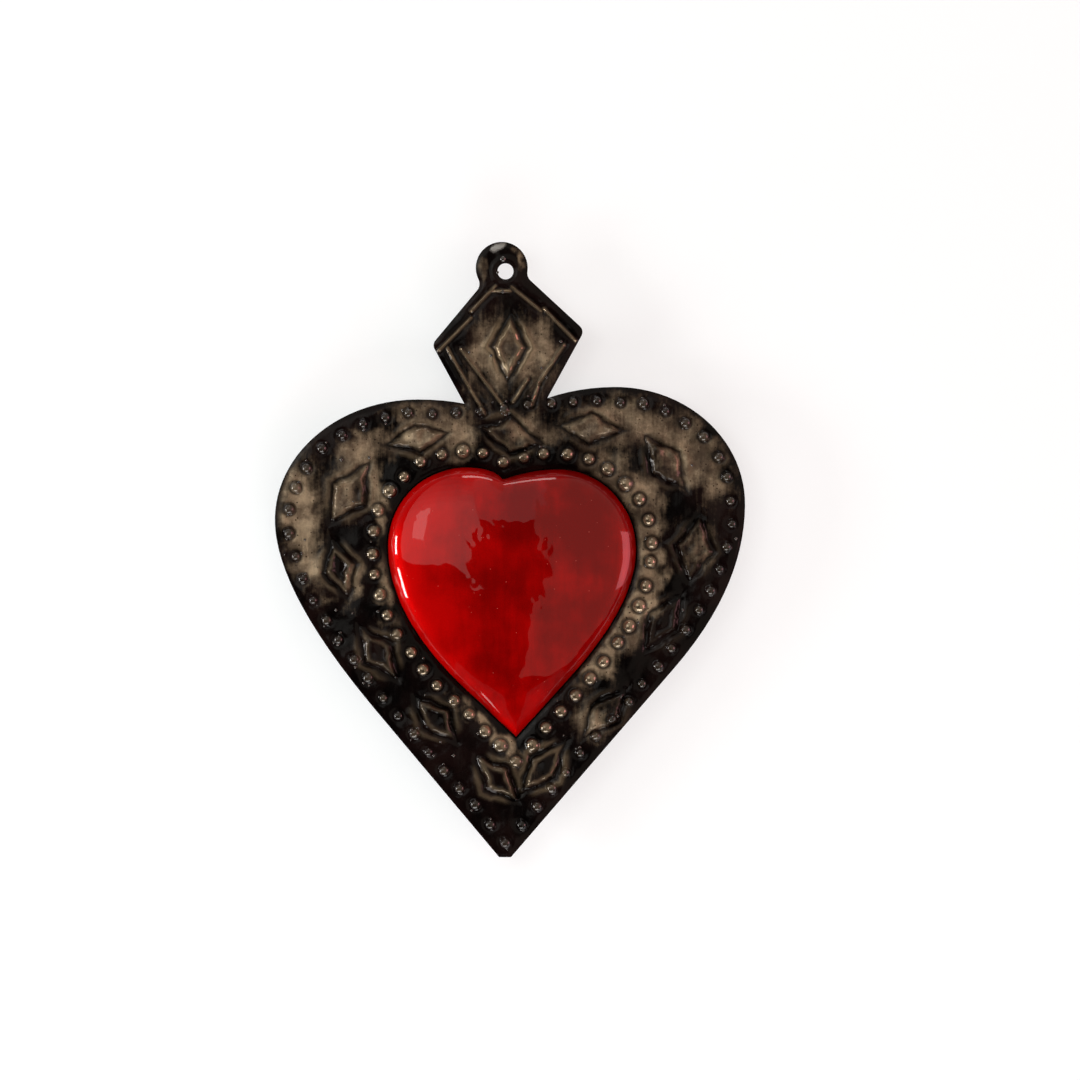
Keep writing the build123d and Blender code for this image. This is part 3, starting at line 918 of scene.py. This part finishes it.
def build_solder(node, dome, material):
    """Uneven blobs of solder that lap from the plate's back over the rim of the dome."""
    points = rounded_points(node)
    summits = points[points[:, 1] > points[:, 1].max() - TOUCH][:, (0, 2)]
    centres = []
    for summit in sorted(map(tuple, summits)):
        if all(math.dist(summit, centre) > SOLDER_RADIUS for centre in centres):
            centres.append(summit)
    rng = np.random.default_rng(SEED + SOLDER_SEED)
    # Clockwise from the front, because the blobs face backwards
    turns = -even_turns(SOLDER_POINTS)
    ring = headings(turns)
    rim = densify(dome.rim, RIM_STEP)
    vertices = []
    faces = []
    for centre in centres:
        lobes = sum(
            rng.normal(0, SOLDER_SPREAD / count) * np.cos(count * turns + rng.uniform(0, LOBE_PHASES))
            for count in SOLDER_LOBES
        )
        radius = SOLDER_RADIUS * (1 + LOBE_SHARE * lobes)
        faces += drop_faces(len(vertices), len(SOLDER_SHARES) + 1, SOLDER_POINTS)
        for share in SOLDER_SHARES:
            spots = centre + ring * (radius * share)[:, None]
            rise = SOLDER_HEIGHT * (1 - share**2) ** SOLDER_FULLNESS * (1 + swell(spots, SOLDER_RIPPLES))
            floor = np.where(inside(spots, rim), SHEET, 0)
            vertices += list(to_metres(spots, -np.maximum(rise, floor + SOLDER_OVER_RIM * (1 - share))))
        spots = centre + ring * (radius * SOLDER_FOOT)[:, None]
        vertices += list(to_metres(spots, -np.where(inside(spots, rim), SHEET - SOLDER_SET_IN, 0)))
    return make_object("solder_blobs", np.array(vertices), faces, material, crease=70)


def build_bubbles(plate, material):
    """Bubbles that dried in the varnish, most of them close to the beads."""
    rng = np.random.default_rng(SEED + BUBBLE_SEED)
    large = [bead for bead in plate.beads if bead.large]
    small = [bead for bead in plate.beads if not bead.large]
    left = [bead for bead in small if bead.centre[0] < 0]
    right = [bead for bead in small if bead.centre[0] >= 0]
    hosts = rng.choice(left, LEFT_BUBBLES), rng.choice(right, RIGHT_BUBBLES), rng.choice(large, LARGE_BUBBLES)
    spots = []
    for bead in np.concatenate(hosts):
        turn = rng.uniform(0, TURN)
        reach = bead.radius * rng.uniform(*BUBBLE_REACH)
        spots.append(bead.centre + reach * np.array((math.cos(turn), math.sin(turn))))
    low, high = plate.outline.min(axis=0), plate.outline.max(axis=0)
    loose = plate.on_sheet(rng.uniform(low, high, (LOOSE_TRIES, 2)))
    spots = plate.on_sheet(np.concatenate((np.array(spots), loose[:LOOSE_BUBBLES])))
    to_outline, to_window, _ = plate.gaps(spots)
    spots = spots[np.minimum(to_outline, to_window) > BUBBLE_EDGE_GAP]
    radii = np.concatenate((rng.uniform(*BUBBLE_RADII, len(spots)), [radius for *_, radius in TAB_DROPS]))
    spots = np.concatenate((spots, [place for *place, _ in TAB_DROPS]))
    ring = headings(even_turns(BUBBLE_POINTS))
    vertices = []
    faces = []
    for spot, level, radius in zip(spots, plate.relief(spots) + SHEET, radii):
        faces += drop_faces(len(vertices), len(BUBBLE_ANGLES), BUBBLE_POINTS)
        for angle in np.radians(BUBBLE_ANGLES):
            height = level + radius * BUBBLE_FLATNESS * math.sin(angle)
            points = spot + ring * radius * math.cos(angle)
            vertices += list(to_metres(points, np.full(BUBBLE_POINTS, height)))
    return make_object("varnish_bubbles", np.array(vertices), faces, material, crease=80)


class Nodes:
    """Short hand for wiring the nodes of a material or of the world."""

    def __init__(self, owner, output="ShaderNodeOutputMaterial", coordinates="Object"):
        owner.use_nodes = True
        self.owner = owner
        self.tree = owner.node_tree
        self.tree.nodes.clear()
        self.output = self.add(output)
        self.place = self.add("ShaderNodeTexCoord").outputs[coordinates]
        self.axes = self.add("ShaderNodeSeparateXYZ", self.place).outputs

    def add(self, kind, *values, **inputs):
        """Add a node and fill its inputs in order, or by names with underscores for spaces."""
        node = self.tree.nodes.new(kind)
        for socket, value in zip(node.inputs, values):
            self.feed(socket, value)
        for name, value in inputs.items():
            self.feed(node.inputs[name.replace("_", " ")], value)
        return node

    def feed(self, socket, value):
        """Set a socket to a value, or link it to another node's output."""
        if isinstance(value, bpy.types.NodeSocket):
            self.tree.links.new(value, socket)
        else:
            socket.default_value = value

    def attribute(self, name):
        """A number kept on the mesh."""
        node = self.add("ShaderNodeAttribute")
        node.attribute_name = name
        return node.outputs["Fac"]

    def noise(self, size, detail=3.0, roughness=0.55, stretch=None):
        """Noise whose features are about so many millimetres across, turned and drawn out by a stretch."""
        place = self.place
        if stretch is not None:
            turn = (0, math.radians(stretch[0]), 0)
            scale = (1, 1, stretch[1])
            place = self.add("ShaderNodeMapping", Vector=place, Rotation=turn, Scale=scale).outputs[0]
        scale = 1 / (size * MM)
        node = self.add("ShaderNodeTexNoise", Vector=place, Scale=scale, Detail=detail, Roughness=roughness)
        return node.outputs["Fac"]

    def spots(self, size, low, high):
        """Scattered round specks, 1 inside a speck."""
        node = self.add("ShaderNodeTexVoronoi", Vector=self.place, Scale=1 / (size * MM))
        return self.step(node.outputs["Distance"], high, low)

    def math(self, operation, *values):
        """A sum worked out for each point of the surface."""
        node = self.add("ShaderNodeMath", *values)
        node.operation = operation
        return node.outputs["Value"]

    def times(self, first, second):
        """One value times another."""
        return self.math("MULTIPLY", first, second)

    def blend(self, *layers, start=0.0):
        """Values added up, each times its weight."""
        total = start
        for value, weight in layers:
            total = self.math("MULTIPLY_ADD", value, weight, total)
        return total

    def most(self, *layers):
        """The largest of some values, each times its weight."""
        largest = 0.0
        for value, weight in layers:
            largest = self.math("MAXIMUM", largest, self.times(value, weight))
        return largest

    def step(self, value, low, high, out_low=0.0, out_high=1.0):
        """A smooth step of a value between two others."""
        node = self.add("ShaderNodeMapRange", value, low, high, out_low, out_high)
        node.interpolation_type = "SMOOTHSTEP"
        return node.outputs["Result"]

    def mix(self, share, first, second):
        """A colour between two others."""
        node = self.add("ShaderNodeMix", share)
        node.data_type = "RGBA"
        self.feed(node.inputs[6], first)
        self.feed(node.inputs[7], second)
        return node.outputs[2]

    def bumps(self, *layers, strength=1.0):
        """A normal roughened by layers of height, each with its depth in millimetres."""
        normal = None
        for height, depth in layers:
            node = self.add("ShaderNodeBump", Strength=strength, Distance=depth * MM, Height=height)
            if normal is not None:
                self.feed(node.inputs["Normal"], normal)
            normal = node.outputs["Normal"]
        return normal

    def finish(self, surface):
        """Make a shader the surface of the nodes' owner."""
        self.feed(self.output.inputs["Surface"], surface.outputs[0])
        return self.owner

    def coated(self, **inputs):
        """Finish with the common shader for paint and metal."""
        return self.finish(self.add("ShaderNodeBsdfPrincipled", **inputs))


def rgb(red, green, blue):
    """A colour given in 0 to 255 as it looks on screen."""
    linear = []
    for value in (red, green, blue):
        share = value / 255
        linear.append(share / 12.92 if share <= 0.04045 else ((share + 0.055) / 1.055) ** 2.4)
    return (*linear, 1.0)


def tin_colour(nodes):
    """Bare tinplate gone dull, with faint brown stains and rust specks."""
    cloud = nodes.step(nodes.noise(16, 4, 0.5), 0.3, 0.7)
    grain = nodes.step(nodes.noise(0.7, 4, 0.6), 0.2, 0.8)
    clean = nodes.mix(cloud, rgb(150, 149, 147), rgb(184, 184, 182))
    clean = nodes.mix(nodes.times(grain, 0.25), clean, rgb(122, 120, 116))
    stain = nodes.step(nodes.noise(9, 6, 0.7), 0.52, 0.8, 0, 0.8)
    rust = nodes.times(nodes.spots(2.6, 0.07, 0.15), 0.7)
    return nodes.mix(rust, nodes.mix(stain, clean, rgb(112, 96, 76)), rgb(88, 56, 36))


def dark_tin_material():
    """Dark patina over tin, wiped back in patches and on high spots, under gloss varnish. The pale patches are
    partly painted sheen of lamps reflected in the metal.
    """
    nodes = Nodes(bpy.data.materials.new("dark_tin"))
    mottle = nodes.noise(4.5, 6, 0.65)
    fine = nodes.noise(0.8, 5, 0.65)
    streak = nodes.noise(2.6, 5, 0.65, stretch=(24, 0.12))
    hair = nodes.noise(0.75, 4, 0.6, stretch=(17, 0.07))
    scratch = nodes.noise(0.9, 2, 0.5, stretch=(58, 0.05))
    cavity = nodes.attribute("cavity")
    bare = nodes.attribute("bare")
    uneven = nodes.blend((mottle, 0.32), (fine, 0.18), (streak, 0.28), (hair, 0.22))
    # Painted sheen: the pale patches partly stand in for lamps reflected in the metal, the dark ones for where
    # no reflection falls
    cleared_and_sheen = nodes.blend((nodes.attribute("wiped_and_painted_sheen"), 1.0), (uneven, 1.7), start=-0.85)
    cleared_and_sheen = nodes.times(nodes.step(cleared_and_sheen, 0.12, 0.93), nodes.blend((cavity, -0.95), start=1.0))
    cleared_and_sheen = nodes.times(cleared_and_sheen, nodes.blend((nodes.spots(1.1, 0.08, 0.2), -0.85), start=1.0))
    dark = nodes.mix(nodes.step(nodes.noise(9, 3), 0.35, 0.7), rgb(4, 2, 2), rgb(22, 12, 11))
    khaki_and_sheen = nodes.mix(nodes.step(nodes.noise(6, 5, 0.7), 0.35, 0.68), rgb(100, 85, 70), rgb(182, 162, 134))
    polish = nodes.times(nodes.attribute("polish"), nodes.step(fine, 0.3, 0.7, 0.7, 1.0))
    colour = nodes.mix(polish, nodes.mix(cleared_and_sheen, dark, khaki_and_sheen), rgb(136, 119, 96))
    behind = nodes.mix(nodes.times(cavity, 0.7), tin_colour(nodes), rgb(70, 63, 54))
    dull = nodes.blend((polish, -0.16), start=nodes.step(cleared_and_sheen, 0, 1, 0.16, 0.34))
    rough_share = nodes.blend((polish, -0.85), start=1.0)
    return nodes.coated(
        Base_Color=nodes.mix(bare, colour, behind),
        Metallic=nodes.most((cleared_and_sheen, 0.45), (polish, 0.95), (bare, 0.8)),
        Roughness=nodes.most((dull, 1.0), (bare, 0.34)),
        Normal=nodes.bumps((mottle, 0.08), (fine, 0.025), (scratch, 0.02), strength=rough_share),
        Specular_IOR_Level=0.1,
        Coat_Weight=nodes.step(nodes.attribute("varnish"), 0, 1, 0.05, 0.62),
        Coat_Roughness=0.06,
    )


def red_lacquer_material():
    """Translucent red lacquer brushed over tin, with dust and fine scratches in its gloss, and painted light
    that makes the red lighter towards the left.
    """
    nodes = Nodes(bpy.data.materials.new("red_lacquer"))
    brush = nodes.noise(2.6, 5, 0.6, stretch=(-38, 0.12))
    # Painted light: the red grows lighter towards the left, as if lit from that side, on top of the lacquer's
    # own uneven tone
    painted_left_light = nodes.step(nodes.axes["X"], 0.012, -0.022, -0.05, 0.16)
    lacquer_tone_and_painted_light = nodes.blend((nodes.noise(13, 4, 0.55), 0.74), (brush, 0.26), start=painted_left_light)
    red = nodes.mix(nodes.step(lacquer_tone_and_painted_light, 0.36, 0.74), rgb(118, 0, 0), rgb(180, 2, 2))
    dust = nodes.times(nodes.spots(1.15, 0.05, 0.09), nodes.step(nodes.noise(4, 2), 0.5, 0.62))
    red = nodes.mix(nodes.times(dust, 0.6), red, rgb(232, 120, 108))
    foot = nodes.mix(nodes.step(nodes.noise(2, 3), 0.3, 0.7), rgb(14, 9, 9), rgb(44, 30, 25))
    paint = nodes.attribute("paint")
    bare = nodes.attribute("bare")
    return nodes.coated(
        Base_Color=nodes.mix(bare, nodes.mix(paint, foot, red), tin_colour(nodes)),
        Metallic=nodes.most((bare, 0.8), (paint, 0.3)),
        Roughness=nodes.step(lacquer_tone_and_painted_light, 0.3, 0.7, 0.3, 0.4),
        Normal=nodes.bumps((brush, 0.035), (nodes.noise(0.8, 3), 0.006), (dust, 0.03)),
        Specular_IOR_Level=nodes.times(bare, 0.4),
        Coat_Weight=nodes.times(nodes.attribute("gloss"), 0.6),
        Coat_Roughness=0.03,
    )


def solder_material():
    """Dull grey solder with a frosty grain and darker flux stains."""
    nodes = Nodes(bpy.data.materials.new("soft_solder"))
    frost = nodes.noise(0.5, 5, 0.65)
    stain = nodes.step(nodes.noise(1.8, 4), 0.45, 0.7)
    clean = nodes.mix(nodes.step(frost, 0.3, 0.7), rgb(146, 146, 144), rgb(192, 192, 188))
    return nodes.coated(
        Base_Color=nodes.mix(stain, clean, rgb(96, 86, 72)),
        Metallic=0.85,
        Roughness=nodes.step(frost, 0.3, 0.7, 0.3, 0.48),
        Normal=nodes.bumps((frost, 0.03)),
    )


def bubble_material():
    """Thick drops of dark varnish."""
    nodes = Nodes(bpy.data.materials.new("dark_varnish"))
    cloud = nodes.noise(1.2, 3)
    return nodes.coated(
        Base_Color=nodes.mix(nodes.step(cloud, 0.3, 0.7), rgb(14, 9, 8), rgb(52, 40, 30)),
        Roughness=nodes.step(cloud, 0.3, 0.7, 0.06, 0.14),
        Coat_Weight=0.8,
        Coat_Roughness=0.03,
    )


def stage_material(name, colour, glow, one_sided):
    """Matt pale board. The camera and reflections see it a little lighter than its lamps make it."""
    nodes = Nodes(bpy.data.materials.new(name))
    shade = (*(PAPER_SHADE * part for part in colour[:3]), 1.0)
    matt = nodes.add("ShaderNodeBsdfDiffuse", Color=nodes.mix(nodes.noise(60, 2), colour, shade))
    path = nodes.add("ShaderNodeLightPath").outputs
    seen = nodes.most(*((path[f"Is {kind} Ray"], 1.0) for kind in ("Camera", "Glossy", "Transmission")))
    light = nodes.add("ShaderNodeEmission", Strength=nodes.times(seen, glow))
    board = nodes.add("ShaderNodeAddShader", matt.outputs[0], light.outputs[0])
    if not one_sided:
        return nodes.finish(board)
    behind = nodes.add("ShaderNodeNewGeometry").outputs["Backfacing"]
    nothing = nodes.add("ShaderNodeBsdfTransparent").outputs[0]
    return nodes.finish(nodes.add("ShaderNodeMixShader", behind, board.outputs[0], nothing))


def add_board(name, corners, material, blocks_lamps):
    """A large flat board of the stage, facing the way its corners turn."""
    mesh = bpy.data.meshes.new(name)
    mesh.from_pydata([tuple(np.array(corner) * MM) for corner in corners], [], [(0, 1, 2, 3)])
    mesh.materials.append(material)
    board = bpy.data.objects.new(name, mesh)
    board.visible_shadow = blocks_lamps
    bpy.context.scene.collection.objects.link(board)


def add_lamp(name, place, away, width, height, radiance, colour, seen):
    """A flat lamp, with the direction in which its back looks."""
    lamp = bpy.data.lights.new(name, "AREA")
    lamp.shape = "RECTANGLE"
    lamp.size = width
    lamp.size_y = height
    lamp.color = colour
    lamp.energy = radiance * math.pi * width * height
    box = bpy.data.objects.new(name, lamp)
    box.location = place
    box.rotation_euler = away.to_track_quat("Z", "Y").to_euler()
    box.visible_camera = seen
    bpy.context.scene.collection.objects.link(box)


def add_softbox(aim, name, azimuth, elevation, distance, *look):
    """A lamp aimed at a place, which the camera does not see."""
    turn, lift = math.radians(azimuth), math.radians(elevation)
    away = Vector((math.sin(turn) * math.cos(lift), -math.cos(turn) * math.cos(lift), math.sin(lift)))
    add_lamp(name, aim + away * distance, away, *look, False)


def add_screen(name, left, right, low, high, radiance, colour):
    """One leaf of a tall lit screen, between two upright edges given in plan."""
    left, right = Vector((*left, 0)), Vector((*right, 0))
    along = right - left
    middle = (left + right) / 2
    middle.z = (low + high) / 2
    away = along.cross(Vector((0, 0, 1)))
    add_lamp(name, middle, away, along.length, high - low, radiance, colour, True)


def light_world():
    """Pale surroundings behind the object, palest above, and dim ones in front, where the camera stands."""
    nodes = Nodes(bpy.data.worlds.new("studio"), "ShaderNodeOutputWorld", "Generated")
    behind = nodes.step(nodes.axes["Y"], -0.5, 0.7, 0.03, 0.6)
    above = nodes.step(nodes.axes["Z"], -0.7, 0.7, 0.4, 1.3)
    sky = nodes.add("ShaderNodeBackground", Color=SKY_COLOUR, Strength=nodes.times(behind, above))
    bpy.context.scene.world = nodes.finish(sky)


def add_camera():
    """A long lens straight in front, framed as the photograph is."""
    half = PHOTO_PIXELS / 2
    camera = bpy.data.cameras.new("camera")
    camera.sensor_width = SENSOR
    camera.lens = SENSOR * CAMERA_DISTANCE / (PHOTO_PIXELS * PIXEL)
    holder = bpy.data.objects.new("camera", camera)
    aim_x = (half - HOLE_PIXEL[0]) * PIXEL
    aim_z = (HOLE_PIXEL[1] - half) * PIXEL
    holder.location = Vector((aim_x, -CAMERA_DISTANCE, aim_z)) * MM
    holder.rotation_euler = (math.radians(90), 0, 0)
    bpy.context.scene.collection.objects.link(holder)
    bpy.context.scene.camera = holder


plate = Plate(frame["nodes"]["heart_plate"])
dome = Dome(frame["nodes"]["domed_heart"])
pieces = (
    (build_plate(plate, dark_tin_material()), "heart_plate", "dark_tin"),
    (build_dome(dome, red_lacquer_material()), "domed_heart", "red_lacquer"),
    (build_solder(frame["nodes"]["solder_tacks"], dome, solder_material()), "solder_tacks", "solder"),
    (build_bubbles(plate, bubble_material()), None, "dark_tin"),
)
for piece, node, slot in pieces:
    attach(piece, "root")
    if node is not None:
        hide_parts(node)

reach = STAGE_REACH
square = ((-reach, -reach), (reach, -reach), (reach, reach), (-reach, reach))
wall_paper = stage_material("wall_paper", WALL_COLOUR, WALL_GLOW, True)
add_board("wall", [(x, WALL_GAP, z) for x, z in square], wall_paper, blocks_lamps=False)
floor_paper = stage_material("floor_paper", FLOOR_COLOUR, 0.0, False)
add_board("floor", [(x, y, -reach) for x, y in square], floor_paper, blocks_lamps=True)

middle = Vector((0, 0, (plate.outline[:, 1].min() + plate.outline[:, 1].max()) / 2)) * MM
for panel, *leaf in SCREEN_LEAVES:
    add_screen(SCREEN_NAMES[panel], *SCREEN_FOLDS[panel:panel + 2], *leaf)
for softbox in SOFTBOXES:
    add_softbox(middle, *softbox)

light_world()
add_camera()
bpy.context.scene.view_settings.view_transform = "Standard"
